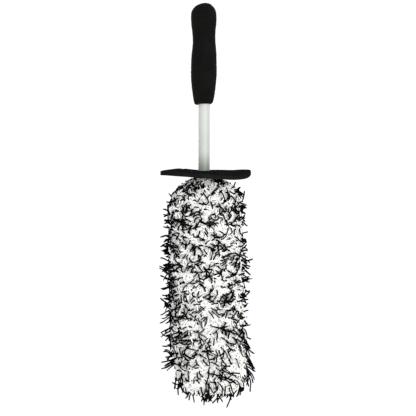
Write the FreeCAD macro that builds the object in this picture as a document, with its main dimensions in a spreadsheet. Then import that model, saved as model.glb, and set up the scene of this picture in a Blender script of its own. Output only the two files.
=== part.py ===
"""Wheel brush: a soft grip on a plastic shaft, a sliding splash guard and a padded flexible head
inside a removable microfibre cover.

Frame: the origin is on the shaft's axis at the middle of the grip. +Z runs along the shaft towards
the closed end of the grip, X is the head's width and Y its depth, with the front face at -Y.
All sizes are millimetres.
"""
import FreeCAD, Part
import math
import os
import Sketcher
from FreeCAD import Vector

UP = Vector(0, 0, 1)

# alias, value, meaning. Heights (..._z) are measured from the middle of the grip.
SIZES = [
    ("grip_length", 114, "closed end to mouth"),
    ("grip_top_radius", 14.1, "dome and upper bulge"),
    ("grip_bulge_z", 38, "lower end of the straight upper bulge"),
    ("grip_waist_radius", 12.5, "narrowest part, for finger and thumb"),
    ("grip_waist_z", 17, "height of the waist"),
    ("grip_waist_curve", 100, "radius of the waist's long hollow"),
    ("grip_belly_radius", 14.3, "fullest part, in the palm"),
    ("grip_belly_z", -17, "height of the belly"),
    ("grip_taper_curve", 195, "radius of the taper below the belly"),
    ("grip_lip_radius", 4, "rounded rim of the mouth"),
    ("shaft_radius", 6.5, "outside of the tube"),
    ("shaft_wall", 1.6, "tube wall"),
    ("shaft_top_z", 40, "upper end, inside the grip"),
    ("shaft_end_z", -150, "lower end, at the head's neck"),
    ("plug_length", 12, "stem of the end plug"),
    ("plug_flange", 2, "thickness of the end plug's flange"),
    ("guard_radius", 51, "splash guard, outside"),
    ("guard_thick", 4.6, "splash guard sheet"),
    ("guard_top_z", -132, "upper face of the guard at rest"),
    ("guard_edge_round", 1.6, "rounding of the guard's rim"),
    ("running_gap", 0.05, "radial clearance of the guard on the shaft"),
    ("stop_radius", 8.5, "outside of the ring that the guard rests on"),
    ("stop_thick", 2, "thickness of that ring"),
    ("socket_stem", 28, "length of the neck socket's stem inside the tube"),
    ("jaw_half_width", 10, "neck socket's jaws"),
    ("jaw_half_depth", 5.5, "neck socket's jaws"),
    ("jaw_length", 26, "neck socket's jaws, below the shaft"),
    ("jaw_floor", 4, "solid part of the jaws above the slot"),
    ("jaw_round", 4, "rounding of the jaws' shoulders"),
    ("neck_pin_radius", 1.5, "cross pin"),
    ("neck_pin_z", -145, "height of the cross pin"),
    ("neck_pin_recess", 0.5, "how far the pin's ends lie below the tube's surface"),
    ("blade_half_thick", 1.5, "flexible blade"),
    ("tang_half_width", 8, "blade's tang in the jaws"),
    ("blade_half_width", 13, "flexible blade"),
    ("blade_shoulder_gap", 2, "gap between the jaws and the blade's shoulder"),
    ("blade_end_z", -366, "tip of the blade"),
    ("blade_tip_round", 7, "corner rounding of the blade's tip"),
    ("rivet_radius", 2, "shank"),
    ("rivet_head_radius", 3.5, "head"),
    ("rivet_head", 1.2, "head thickness"),
    ("rivet_first_drop", 10, "first rivet below the shaft's end"),
    ("rivet_pitch", 10, "distance between the rivets"),
    ("bumper_half_width", 15, "bumper on the blade's tip"),
    ("bumper_half_depth", 4, "bumper on the blade's tip"),
    ("bumper_grip", 16, "length of blade inside the bumper"),
    ("bumper_end", 3, "bumper beyond the blade's tip"),
    ("bumper_round", 6, "corner rounding of the bumper"),
    ("pad_half_width", 21, "foam pads"),
    ("pad_depth", 10, "one foam pad, from the middle plane out"),
    ("pad_top_z", -156, "upper end of the foam"),
    ("pad_end_z", -372, "lower end of the foam"),
    ("pad_corner", 12, "rounding of the foam's lower corners"),
    ("pad_edge_round", 3, "rounding of the foam's outer edges"),
    ("seat_gap", 0.2, "clearance of the recesses in the foam"),
    ("cover_gap", 0.5, "between the foam and the cover"),
    ("fabric_thick", 1.2, "backing fabric with its seams"),
    ("cover_mouth_z", -152, "upper end of the cover's panels"),
    ("hem_top_z", -139.4, "upper edge of the hem"),
    ("hem_height", 4, "height of the hem"),
    ("hem_radius", 8.7, "outside of the hem"),
    ("elastic_radius", 7.6, "outside of the elastic"),
    ("elastic_inner", 6.8, "inside of the elastic"),
    ("elastic_margin", 0.8, "hem above and below the elastic"),
    ("pile_half_width", 44, "dense pile, across the head"),
    ("pile_half_depth", 34, "dense pile, front to back"),
    ("pile_top_z", -140.4, "top of the pile's shoulders"),
    ("pile_end_z", -389, "lowest point of the dense pile"),
    ("shoulder_round", 16, "rounding of the pile's shoulders"),
    ("tip_round", 25, "rounding of the pile's lower end"),
    ("cut_past", 1, "how far a cutting shape runs past a face"),
]

doc = FreeCAD.newDocument("wheel_brush")
sheet = doc.addObject("Spreadsheet::Sheet", "sizes")
for row, (alias, value, meaning) in enumerate(SIZES, start=1):
    sheet.set(f"A{row}", meaning)
    sheet.set(f"B{row}", str(value))
    sheet.setAlias(f"B{row}", alias)
doc.recompute()

parts = []


def size(text):
    """The number that an expression of the sheet's sizes stands for."""
    value = sheet.evalExpression(text)
    return float(getattr(value, "Value", value))


def bind(thing, **properties):
    """Ties properties to sizes; a double underscore stands for the dot in a property's path."""
    for name, expression in properties.items():
        thing.setExpression(name.replace("__", "."), expression)


def new_body(label, finished=True):
    """A body that is a sub-part by itself, or only a tool or a stage of one."""
    body = doc.addObject("PartDesign::Body", label)
    body.Label = label
    if finished:
        parts.append(body)
    return body


def keep(thing, label):
    """Marks a Part object as a finished sub-part."""
    thing.Label = label
    parts.append(thing)
    return thing


def new_sketch(body, name, role, height=None):
    """A sketch on one of the body's own planes, raised along its normal by an expression."""
    sketch = body.newObject("Sketcher::SketchObject", name)
    plane = [f for f in body.Origin.OriginFeatures if f.Role == role][0]
    sketch.AttachmentSupport = [(plane, "")]
    sketch.MapMode = "FlatFace"
    if height:
        bind(sketch, AttachmentOffset__Base__z=height)
    return sketch


def dimension(sketch, kind, *where, expression, flip=False):
    value = size(expression)
    text = expression
    if flip:
        value = -value
        text = f"-({expression})"
    index = sketch.addConstraint(Sketcher.Constraint(kind, *where, value))
    sketch.setExpression(f"Constraints[{index}]", text)


def locate(sketch, shape, point, x, y):
    """Holds a point of a sketch at two expressions, measured from the sketch's origin."""
    for kind, axis, expression in (("DistanceX", -2, x), ("DistanceY", -1, y)):
        value = size(expression)
        if abs(value) < 1e-9:
            sketch.addConstraint(Sketcher.Constraint("PointOnObject", shape, point, axis))
        elif value > 0:
            dimension(sketch, kind, -1, 1, shape, point, expression=expression)
        else:
            dimension(sketch, kind, shape, point, -1, 1, expression=expression, flip=True)


def outline(sketch, corners):
    """A closed straight-sided outline; each corner is a pair of expressions."""
    points = [Vector(size(x), size(y), 0) for x, y in corners]
    count = len(points)
    first = sketch.GeometryCount
    for i in range(count):
        sketch.addGeometry(Part.LineSegment(points[i], points[(i + 1) % count]), False)
    for i in range(count):
        following = first + (i + 1) % count
        sketch.addConstraint(Sketcher.Constraint("Coincident", first + i, 2, following, 1))
        locate(sketch, first + i, 1, *corners[i])


def box_outline(sketch, half_width, low, high):
    """A rectangle that is symmetric about the sketch's vertical axis."""
    left = f"-({half_width})"
    outline(sketch, [(left, low), (half_width, low), (half_width, high), (left, high)])


def ring_outline(sketch, outer, inner=None):
    for radius in (outer, inner):
        if radius is None:
            continue
        index = sketch.addGeometry(Part.Circle(Vector(0, 0, 0), UP, size(radius)), False)
        sketch.addConstraint(Sketcher.Constraint("Coincident", index, 3, -1, 1))
        dimension(sketch, "Radius", index, expression=radius)


def pad(body, sketch, length, both_sides=False, reverse=False):
    feature = body.newObject("PartDesign::Pad", f"{sketch.Name}_pad")
    feature.Profile = sketch
    feature.Midplane = both_sides
    feature.Reversed = reverse
    bind(feature, Length=length)
    doc.recompute()
    return feature


def pocket(body, sketch, length, both_sides=False, reverse=False):
    """Cuts a sketch out of the body, and stops if it cuts nothing."""
    before = body.Shape.Volume
    feature = body.newObject("PartDesign::Pocket", f"{sketch.Name}_pocket")
    feature.Profile = sketch
    feature.Midplane = both_sides
    feature.Reversed = reverse
    bind(feature, Length=length)
    doc.recompute()
    if body.Shape.Volume > before - 1e-3:
        raise RuntimeError(f"{feature.Name} cuts nothing")
    return feature


def round_edges(body, base, radius, wanted):
    """Rounds the edges of a feature that the test function picks."""
    names = [f"Edge{i}" for i, edge in enumerate(base.Shape.Edges, start=1) if wanted(edge)]
    if not names:
        raise RuntimeError(f"no edge to round on {body.Label}")
    feature = body.newObject("PartDesign::Fillet", f"{body.Name}_rounding")
    feature.Base = (base, names)
    bind(feature, Radius=radius)
    doc.recompute()
    return feature


def is_level(edge, height):
    box = edge.BoundBox
    return abs(box.ZMin - height) < 1e-6 and abs(box.ZMax - height) < 1e-6


def round_low_corners(body, base, radius, height):
    """Rounds the two lower corners of a flat block, seen from the front."""
    low = size(height)
    return round_edges(body, base, radius,
                       lambda edge: is_level(edge, low) and edge.BoundBox.XLength < 1e-6)


def make_block(body, name, half_width, low, high, thick, corner):
    """A flat block about the middle plane, with rounded lower corners."""
    face = new_sketch(body, name, "XZ_Plane")
    box_outline(face, half_width, low, high)
    block = pad(body, face, thick, both_sides=True)
    return round_low_corners(body, block, corner, low)


def make_disc(label, outer, inner, top, thick):
    """A flat ring or disc on the shaft's axis, given by its upper face and its thickness."""
    body = new_body(label)
    sketch = new_sketch(body, f"{label}_ring", "XY_Plane", f"{top} - ({thick})")
    ring_outline(sketch, outer, inner)
    pad(body, sketch, thick)
    return body


# ---------------------------------------------------------------- handle

def make_grip():
    """Soft grip: a turned outside with dome, waist, belly and tapered mouth, and a blind bore."""
    body = new_body("grip")
    sketch = new_sketch(body, "grip_profile", "XZ_Plane")
    top = size("sizes.grip_length / 2")
    r_top = size("sizes.grip_top_radius")
    r_waist = size("sizes.grip_waist_radius")
    r_belly = size("sizes.grip_belly_radius")
    z_bulge = size("sizes.grip_bulge_z")
    z_waist = size("sizes.grip_waist_z")
    z_belly = size("sizes.grip_belly_z")
    waist_curve = size("sizes.grip_waist_curve")
    taper_curve = size("sizes.grip_taper_curve")
    lip = size("sizes.grip_lip_radius")
    z_lip = lip - top

    def tangent_curve(r_full, z_full):
        """Radius of the full curve that meets the waist's curve tangentially."""
        rise = r_full - r_waist
        return ((z_full - z_waist) ** 2 + rise ** 2) / (2 * rise) - waist_curve

    bulge_curve = tangent_curve(r_top, z_bulge)
    belly_curve = tangent_curve(r_belly, z_belly)
    bulge_turn = math.asin((z_bulge - z_waist) / (bulge_curve + waist_curve))
    belly_turn = math.asin((z_waist - z_belly) / (belly_curve + waist_curve))
    taper_turn = math.asin((z_belly - z_lip) / taper_curve)
    r_lip = r_belly - taper_curve * (1 - math.cos(taper_turn))
    lip_centre = Vector(r_lip - lip * math.cos(taper_turn), z_lip + lip * math.sin(taper_turn), 0)
    bottom = lip_centre.y - lip

    def arc(centre, radius, start, end):
        return Part.ArcOfCircle(Part.Circle(centre, UP, radius), start, end)

    quarter = math.pi / 2
    pieces = [
        arc(Vector(0, top - r_top, 0), r_top, 0, quarter),
        Part.LineSegment(Vector(r_top, z_bulge, 0), Vector(r_top, top - r_top, 0)),
        arc(Vector(r_top - bulge_curve, z_bulge, 0), bulge_curve, -bulge_turn, 0),
        arc(Vector(r_waist + waist_curve, z_waist, 0), waist_curve,
            math.pi - bulge_turn, math.pi + belly_turn),
        arc(Vector(r_belly - belly_curve, z_belly, 0), belly_curve, 0, belly_turn),
        arc(Vector(r_belly - taper_curve, z_belly, 0), taper_curve, -taper_turn, 0),
        arc(lip_centre, lip, -quarter, -taper_turn),
        Part.LineSegment(Vector(0, bottom, 0), Vector(lip_centre.x, bottom, 0)),
        Part.LineSegment(Vector(0, top, 0), Vector(0, bottom, 0)),
    ]
    dome, bulge_side, bulge, waist, belly, taper, rim, mouth, axis = range(len(pieces))
    for piece in pieces:
        sketch.addGeometry(piece, False)
    start, end, centre = 1, 2, 3
    smooth_joins = [
        (dome, start, bulge_side, end),
        (bulge_side, start, bulge, end),
        (bulge, start, waist, start),
        (waist, end, belly, end),
        (belly, start, taper, end),
        (taper, start, rim, end),
        (rim, start, mouth, end),
    ]
    for join in smooth_joins:
        sketch.addConstraint(Sketcher.Constraint("Tangent", *join))
    sketch.addConstraint(Sketcher.Constraint("Coincident", mouth, start, axis, end))
    sketch.addConstraint(Sketcher.Constraint("Coincident", axis, start, dome, end))
    sketch.addConstraint(Sketcher.Constraint("PointOnObject", dome, centre, -2))
    sketch.addConstraint(Sketcher.Constraint("PointOnObject", mouth, start, -2))
    sketch.addConstraint(Sketcher.Constraint("PointOnObject", dome, end, -2))
    sketch.addConstraint(Sketcher.Constraint("Horizontal", mouth))
    sketch.addConstraint(Sketcher.Constraint("Vertical", bulge_side))
    dimension(sketch, "Radius", dome, expression="sizes.grip_top_radius")
    dimension(sketch, "Radius", waist, expression="sizes.grip_waist_curve")
    dimension(sketch, "Radius", taper, expression="sizes.grip_taper_curve")
    dimension(sketch, "Radius", rim, expression="sizes.grip_lip_radius")
    dimension(sketch, "DistanceY", -1, 1, axis, start, expression="sizes.grip_length / 2")
    dimension(sketch, "DistanceY", -1, 1, bulge, end, expression="sizes.grip_bulge_z")
    locate(sketch, waist, centre, "sizes.grip_waist_radius + sizes.grip_waist_curve",
           "sizes.grip_waist_z")
    locate(sketch, taper, end, "sizes.grip_belly_radius", "sizes.grip_belly_z")
    dimension(sketch, "DistanceY", taper, centre, -1, 1, expression="sizes.grip_belly_z", flip=True)
    dimension(sketch, "DistanceY", mouth, start, -1, 1, expression="sizes.grip_length / 2")
    turned = body.newObject("PartDesign::Revolution", "grip_turned")
    turned.Profile = sketch
    turned.ReferenceAxis = (sketch, ["V_Axis"])
    turned.Angle = 360
    doc.recompute()
    bore = new_sketch(body, "grip_bore", "XY_Plane", "sizes.shaft_top_z + sizes.plug_flange")
    ring_outline(bore, "sizes.shaft_radius")
    pocket(body, bore, "sizes.shaft_top_z + sizes.plug_flange + sizes.grip_length")


def make_shaft():
    """Tube from inside the grip down to the neck, cross-drilled for the neck pin."""
    body = new_body("shaft")
    section = new_sketch(body, "shaft_section", "XY_Plane", "sizes.shaft_end_z")
    ring_outline(section, "sizes.shaft_radius", "sizes.shaft_radius - sizes.shaft_wall")
    pad(body, section, "sizes.shaft_top_z - sizes.shaft_end_z")
    drill_for_pin(body)


def drill_for_pin(body):
    """A hole along X, all the way through, where the neck pin goes."""
    hole = new_sketch(body, f"{body.Name}_pin_hole", "YZ_Plane")
    index = hole.addGeometry(
        Part.Circle(Vector(0, size("sizes.neck_pin_z"), 0), UP, size("sizes.neck_pin_radius")), False)
    locate(hole, index, 3, "0", "sizes.neck_pin_z")
    dimension(hole, "Radius", index, expression="sizes.neck_pin_radius")
    pocket(body, hole, "4 * sizes.shaft_radius", both_sides=True)


def make_end_plug():
    """Plug that closes the tube's upper end, so the grip's foam can't be cut by it."""
    body = new_body("shaft_end_plug")
    flange = new_sketch(body, "plug_flange_outline", "XY_Plane", "sizes.shaft_top_z")
    ring_outline(flange, "sizes.shaft_radius")
    pad(body, flange, "sizes.plug_flange")
    stem = new_sketch(body, "plug_stem_outline", "XY_Plane", "sizes.shaft_top_z")
    ring_outline(stem, "sizes.shaft_radius - sizes.shaft_wall")
    pad(body, stem, "sizes.plug_length", reverse=True)


def make_guard():
    """Flexible disc that keeps spray off the hand; it slides on the bare shaft."""
    label = "splash_guard"
    body = make_disc(label, "sizes.guard_radius", "sizes.shaft_radius + sizes.running_gap",
                     "sizes.guard_top_z", "sizes.guard_thick")
    disc = body.Tip
    round_edges(body, disc, "sizes.guard_edge_round",
                lambda edge: edge.BoundBox.XLength > size("sizes.guard_radius"))


def make_neck_socket():
    """Moulded socket: a stem inside the tube and a pair of closed jaws that hold the blade."""
    body = new_body("neck_socket")
    jaws = new_sketch(body, "socket_jaws", "XZ_Plane")
    box_outline(jaws, "sizes.jaw_half_width", "sizes.shaft_end_z - sizes.jaw_length",
                "sizes.shaft_end_z")
    block = pad(body, jaws, "2 * sizes.jaw_half_depth", both_sides=True)
    top = size("sizes.shaft_end_z")
    round_edges(body, block, "sizes.jaw_round",
                lambda edge: is_level(edge, top) and edge.BoundBox.YLength > 1)
    stem = new_sketch(body, "socket_stem_outline", "XY_Plane", "sizes.shaft_end_z")
    ring_outline(stem, "sizes.shaft_radius - sizes.shaft_wall")
    pad(body, stem, "sizes.socket_stem")
    slot = new_sketch(body, "socket_slot", "XZ_Plane")
    box_outline(slot, "sizes.tang_half_width", "sizes.shaft_end_z - sizes.jaw_length",
                "sizes.shaft_end_z - sizes.jaw_floor")
    pocket(body, slot, "2 * sizes.blade_half_thick", both_sides=True)
    drill_for_pin(body)
    drill_for_rivets(body)


def make_neck_pin():
    """Cross pin that locks the socket's stem in the tube."""
    pin = doc.addObject("Part::Cylinder", "neck_pin")
    pin.Placement = FreeCAD.Placement(Vector(0, 0, 0), FreeCAD.Rotation(Vector(0, 1, 0), 90))
    reach = "(sizes.shaft_radius - sizes.neck_pin_recess)"
    bind(pin, Radius="sizes.neck_pin_radius", Height=f"2 * {reach}", Placement__Base__x=f"-{reach}",
         Placement__Base__z="sizes.neck_pin_z")
    keep(pin, "neck_pin")


# ---------------------------------------------------------------- head

def rivet_heights():
    first = "sizes.shaft_end_z - sizes.rivet_first_drop"
    return [first, f"{first} - sizes.rivet_pitch"]


def drill_for_rivets(body):
    holes = new_sketch(body, f"{body.Name}_rivet_holes", "XZ_Plane")
    for height in rivet_heights():
        index = holes.addGeometry(
            Part.Circle(Vector(0, size(height), 0), UP, size("sizes.rivet_radius")), False)
        locate(holes, index, 3, "0", height)
        dimension(holes, "Radius", index, expression="sizes.rivet_radius")
    pocket(body, holes, "4 * sizes.jaw_half_depth", both_sides=True)


def make_blade():
    """Flexible blade: a narrow tang in the jaws and a wide strip with a rounded tip."""
    body = new_body("flex_blade")
    face = new_sketch(body, "blade_face", "XZ_Plane")
    tang_top = "sizes.shaft_end_z - sizes.jaw_floor"
    shoulder = "sizes.shaft_end_z - sizes.jaw_length - sizes.blade_shoulder_gap"
    outline(face, [
        ("-sizes.tang_half_width", tang_top),
        ("-sizes.tang_half_width", shoulder),
        ("-sizes.blade_half_width", shoulder),
        ("-sizes.blade_half_width", "sizes.blade_end_z"),
        ("sizes.blade_half_width", "sizes.blade_end_z"),
        ("sizes.blade_half_width", shoulder),
        ("sizes.tang_half_width", shoulder),
        ("sizes.tang_half_width", tang_top),
    ])
    strip = pad(body, face, "2 * sizes.blade_half_thick", both_sides=True)
    round_low_corners(body, strip, "sizes.blade_tip_round", "sizes.blade_end_z")
    drill_for_rivets(body)


def make_rivets():
    """Two rivets through the jaws and the blade's tang, each a shank with a head at both ends."""
    rivets = []
    for number, height in enumerate(rivet_heights(), start=1):
        shank = doc.addObject("Part::Cylinder", f"rivet_shank_{number}")
        bind(shank, Radius="sizes.rivet_radius", Height="2 * sizes.jaw_half_depth",
             Placement__Base__y="sizes.jaw_half_depth", Placement__Base__z=height)
        heads = []
        for side, start in (("front", "-sizes.jaw_half_depth"),
                            ("back", "sizes.jaw_half_depth + sizes.rivet_head")):
            head = doc.addObject("Part::Cylinder", f"rivet_head_{side}_{number}")
            bind(head, Radius="sizes.rivet_head_radius", Height="sizes.rivet_head",
                 Placement__Base__y=start, Placement__Base__z=height)
            heads.append(head)
        for cylinder in [shank, *heads]:
            cylinder.Placement.Rotation = FreeCAD.Rotation(Vector(1, 0, 0), 90)
        rivet = doc.addObject("Part::MultiFuse", f"rivet_{number}")
        rivet.Shapes = [shank, *heads]
        rivets.append(rivet)
    group = doc.addObject("Part::Compound", "blade_rivets")
    group.Links = rivets
    keep(group, "blade_rivets")


def make_bumper():
    """Soft cap over the blade's tip, so it can't work through the foam."""
    body = new_body("tip_bumper")
    top = "sizes.blade_end_z + sizes.bumper_grip"
    make_block(body, "bumper_block", "sizes.bumper_half_width",
               "sizes.blade_end_z - sizes.bumper_end", top, "2 * sizes.bumper_half_depth",
               "sizes.bumper_round")
    slot = new_sketch(body, "bumper_slot", "XZ_Plane")
    box_outline(slot, "sizes.blade_half_width", "sizes.blade_end_z", top)
    pocket(body, slot, "2 * sizes.blade_half_thick", both_sides=True)


def make_foam_pad(side):
    """One of the two foam pads, recessed on its inner face for the blade, jaws and bumper."""
    behind = side == "back"
    body = new_body(f"foam_pad_{side}")
    face = new_sketch(body, f"foam_{side}_face", "XZ_Plane")
    box_outline(face, "sizes.pad_half_width", "sizes.pad_end_z", "sizes.pad_top_z")
    slab = pad(body, face, "sizes.pad_depth", reverse=behind)
    slab = round_low_corners(body, slab, "sizes.pad_corner", "sizes.pad_end_z")
    outer = size("sizes.pad_depth")
    round_edges(body, slab, "sizes.pad_edge_round",
                lambda edge: abs(abs(edge.BoundBox.YMin) - outer) < 1e-6
                and edge.BoundBox.YLength < 1e-6)
    jaw_end = "sizes.shaft_end_z - sizes.jaw_length - sizes.seat_gap"
    recesses = [
        ("blade", "sizes.blade_half_width + sizes.seat_gap", "sizes.blade_end_z - sizes.seat_gap",
         jaw_end, "sizes.blade_half_thick + sizes.seat_gap"),
        ("jaws", "sizes.jaw_half_width + sizes.seat_gap", jaw_end, "sizes.pad_top_z",
         "sizes.jaw_half_depth + sizes.rivet_head + sizes.seat_gap"),
        ("bumper", "sizes.bumper_half_width + sizes.seat_gap",
         "sizes.blade_end_z - sizes.bumper_end - sizes.seat_gap",
         "sizes.blade_end_z + sizes.bumper_grip + sizes.seat_gap",
         "sizes.bumper_half_depth + sizes.seat_gap"),
    ]
    for name, half_width, low_end, high_end, depth in recesses:
        recess = new_sketch(body, f"foam_{side}_{name}", "XZ_Plane")
        box_outline(recess, half_width, low_end, high_end)
        pocket(body, recess, depth, reverse=not behind)


# ---------------------------------------------------------------- cover

INNER_HALF_WIDTH = "(sizes.pad_half_width + sizes.cover_gap)"
INNER_HALF_DEPTH = "(sizes.pad_depth + sizes.cover_gap)"
OUTER_HALF_WIDTH = f"({INNER_HALF_WIDTH} + sizes.fabric_thick)"
OUTER_HALF_DEPTH = f"({INNER_HALF_DEPTH} + sizes.fabric_thick)"
INNER_CORNER = "(sizes.pad_corner + sizes.cover_gap)"
OUTER_CORNER = f"({INNER_CORNER} + sizes.fabric_thick)"
INNER_END = "(sizes.pad_end_z - sizes.cover_gap)"
OUTER_END = f"({INNER_END} - sizes.fabric_thick)"


def make_panel(side):
    """Backing fabric of the front or back face, with rounded lower corners."""
    body = new_body(f"cover_panel_{side}")
    nearest_front = f"-{INNER_HALF_DEPTH}" if side == "front" else OUTER_HALF_DEPTH
    face = new_sketch(body, f"panel_{side}_face", "XZ_Plane", f"-({nearest_front})")
    box_outline(face, OUTER_HALF_WIDTH, OUTER_END, "sizes.cover_mouth_z")
    cloth = pad(body, face, "sizes.fabric_thick")
    round_low_corners(body, cloth, OUTER_CORNER, OUTER_END)


def make_gusset():
    """Backing strip that runs down one side, round the tip and up the other side."""
    solid = new_body("gusset_solid", finished=False)
    make_block(solid, "gusset_outside", OUTER_HALF_WIDTH, OUTER_END, "sizes.cover_mouth_z",
               f"2 * {INNER_HALF_DEPTH}", OUTER_CORNER)
    hollow = new_body("gusset_hollow", finished=False)
    make_block(hollow, "gusset_inside", INNER_HALF_WIDTH, INNER_END,
               "sizes.cover_mouth_z + sizes.cut_past", f"4 * {INNER_HALF_DEPTH}", INNER_CORNER)
    strip = doc.addObject("Part::Cut", "cover_gusset")
    strip.Base = solid
    strip.Tool = hollow
    keep(strip, "cover_gusset")


def make_collar():
    """Gathered fabric that closes the cover's mouth in to the neck."""
    hem_end = "sizes.hem_top_z - sizes.hem_height"
    shells = []
    for name, shrink in (("outer", "0"), ("inner", "sizes.fabric_thick")):
        wide = doc.addObject("Part::Ellipse", f"collar_{name}_mouth")
        bind(wide, MajorRadius=f"{OUTER_HALF_WIDTH} - {shrink}",
             MinorRadius=f"{OUTER_HALF_DEPTH} - {shrink}", Placement__Base__z="sizes.cover_mouth_z")
        narrow = doc.addObject("Part::Circle", f"collar_{name}_neck")
        bind(narrow, Radius=f"sizes.hem_radius - {shrink}", Placement__Base__z=hem_end)
        shell = doc.addObject("Part::Loft", f"collar_{name}")
        shell.Sections = [wide, narrow]
        shell.Solid = True
        shell.Ruled = True
        shells.append(shell)
    collar = doc.addObject("Part::Cut", "cover_collar")
    collar.Base, collar.Tool = shells
    keep(collar, "cover_collar")


def make_hem():
    make_disc("hem_band", "sizes.hem_radius", "sizes.elastic_radius", "sizes.hem_top_z",
              "sizes.hem_height")
    make_disc("hem_elastic", "sizes.elastic_radius", "sizes.elastic_inner",
              "sizes.hem_top_z - sizes.elastic_margin", "sizes.hem_height - 2 * sizes.elastic_margin")


def make_pile():
    """The dense pile's envelope, divided where the cover's panels and gusset meet."""
    section = doc.addObject("Part::Ellipse", "pile_section")
    bind(section, MajorRadius="sizes.pile_half_width", MinorRadius="sizes.pile_half_depth",
         Placement__Base__z="sizes.pile_end_z")
    barrel = doc.addObject("Part::Extrusion", "pile_barrel")
    barrel.Base = section
    barrel.DirMode = "Custom"
    barrel.Dir = UP
    barrel.Solid = True
    bind(barrel, LengthFwd="sizes.pile_top_z - sizes.pile_end_z")
    doc.recompute()
    rounded = []
    for height, radius in (("sizes.pile_top_z", "sizes.shoulder_round"),
                           ("sizes.pile_end_z", "sizes.tip_round")):
        rounded += [(index, size(radius), size(radius))
                    for index, edge in enumerate(barrel.Shape.Edges, start=1)
                    if is_level(edge, size(height))]
    envelope = doc.addObject("Part::Fillet", "pile_envelope")
    envelope.Base = barrel
    envelope.Edges = rounded

    hollow = new_body("pile_hollow", finished=False)
    make_block(hollow, "pile_hollow_face", OUTER_HALF_WIDTH, OUTER_END,
               "sizes.pile_top_z + sizes.cut_past", f"4 * {OUTER_HALF_DEPTH}", OUTER_CORNER)
    reach = "sizes.pile_half_width"
    depth = OUTER_HALF_DEPTH
    corner_top = f"({OUTER_END} + {OUTER_CORNER})"
    lengthways = ("sizes.pile_end_z", "sizes.pile_top_z")
    regions = {
        "pile_front": (f"-{reach}", reach, f"-{reach}", f"-{depth}", *lengthways),
        "pile_back": (f"-{reach}", reach, depth, reach, *lengthways),
        "pile_left": (f"-{reach}", "0", f"-{depth}", depth, corner_top, lengthways[1]),
        "pile_tip": (f"-{reach}", reach, f"-{depth}", depth, lengthways[0], corner_top),
    }
    for label, (x0, x1, y0, y1, z0, z1) in regions.items():
        space = doc.addObject("Part::Box", f"{label}_space")
        bind(space, Length=f"{x1} - ({x0})", Width=f"{y1} - ({y0})", Height=f"{z1} - ({z0})",
             Placement__Base__x=x0, Placement__Base__y=y0, Placement__Base__z=z0)
        region = doc.addObject("Part::Common", f"{label}_region")
        region.Base = envelope
        region.Tool = space
        if label in ("pile_left", "pile_tip"):
            whole = region
            region = doc.addObject("Part::Cut", f"{label}_open")
            region.Base = whole
            region.Tool = hollow
        keep(region, label)
        if label == "pile_left":
            right = doc.addObject("Part::Mirroring", "pile_right")
            right.Source = region
            right.Normal = Vector(1, 0, 0)
            keep(right, "pile_right")


make_shaft()
make_end_plug()
make_grip()
make_guard()
make_disc("guard_stop", "sizes.stop_radius", "sizes.shaft_radius",
          "sizes.guard_top_z - sizes.guard_thick", "sizes.stop_thick")
make_neck_socket()
make_neck_pin()
make_blade()
make_rivets()
make_bumper()
for face_side in ("front", "back"):
    make_foam_pad(face_side)
    make_panel(face_side)
make_gusset()
make_collar()
make_hem()
make_pile()
doc.recompute()

for thing in doc.Objects:
    if {"Invalid", "Error"} & set(thing.State):
        raise RuntimeError(f"{thing.Name} failed: {thing.State}")
os.makedirs("parts", exist_ok=True)
for thing in parts:
    if thing.Shape.isNull() or not thing.Shape.isValid():
        raise RuntimeError(f"{thing.Label} has no valid shape")
for thing in parts:
    thing.Shape.exportStep(os.path.join("parts", f"{thing.Label}.step"))
    print(f"{thing.Label}: {len(thing.Shape.Solids)} solid(s), {thing.Shape.Volume:.0f} mm3")
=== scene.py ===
"""Wheel brush: the looks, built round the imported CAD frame.

Lengths are millimetres in the constants and in the helpers' arguments, and metres in the meshes.
On the head, theta is the angle round it from the right-hand side, with the front at minus a quarter
turn, and t is the share of the way from neck to tip. Every set of pieces has seeds of its own.
"""
import math

import bpy
import numpy as np
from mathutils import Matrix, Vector


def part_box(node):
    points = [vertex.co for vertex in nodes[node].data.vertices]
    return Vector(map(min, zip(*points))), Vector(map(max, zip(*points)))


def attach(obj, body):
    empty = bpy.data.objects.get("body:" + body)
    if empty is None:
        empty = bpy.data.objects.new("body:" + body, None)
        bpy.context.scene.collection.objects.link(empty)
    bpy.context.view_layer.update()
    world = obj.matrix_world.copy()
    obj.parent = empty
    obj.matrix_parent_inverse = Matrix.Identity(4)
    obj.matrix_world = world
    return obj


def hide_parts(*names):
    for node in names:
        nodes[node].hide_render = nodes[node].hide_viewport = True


MM = 0.001
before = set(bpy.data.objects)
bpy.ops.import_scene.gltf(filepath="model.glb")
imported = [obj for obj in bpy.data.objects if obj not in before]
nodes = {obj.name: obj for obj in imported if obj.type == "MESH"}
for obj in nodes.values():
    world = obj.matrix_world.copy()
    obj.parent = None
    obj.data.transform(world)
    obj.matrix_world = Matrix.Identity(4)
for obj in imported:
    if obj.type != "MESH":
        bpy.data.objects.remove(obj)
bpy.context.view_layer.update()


def corners_of(node):
    """Lowest and highest corner of a CAD node's box, in millimetres."""
    return [[c / MM for c in corner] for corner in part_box(node)]


def low(node, axis):
    """Lowest coordinate of a CAD node, in millimetres; axis 0, 1, 2 is X, Y, Z."""
    return corners_of(node)[0][axis]


def high(node, axis):
    """Highest coordinate of a CAD node, in millimetres."""
    return corners_of(node)[1][axis]


def fade(value, start, end):
    """0 up to start and 1 from end on, with a straight rise between them."""
    return np.clip((value - start) / (end - start), 0, 1)


# ---------------------------------------------------------------- camera, lights, floor

# Height of the view at the brush, and the X and Z of its middle.
VIEW_HEIGHT = 468.0
AIM = (4.5, -173.7)
LENS = 100.0
SENSOR = 36.0

WORLD_COLOUR = (0.985, 0.992, 1.0, 1.0)
WORLD_STRENGTH = 1.10
LIGHT_TARGET = (0, 0, -170)
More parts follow.
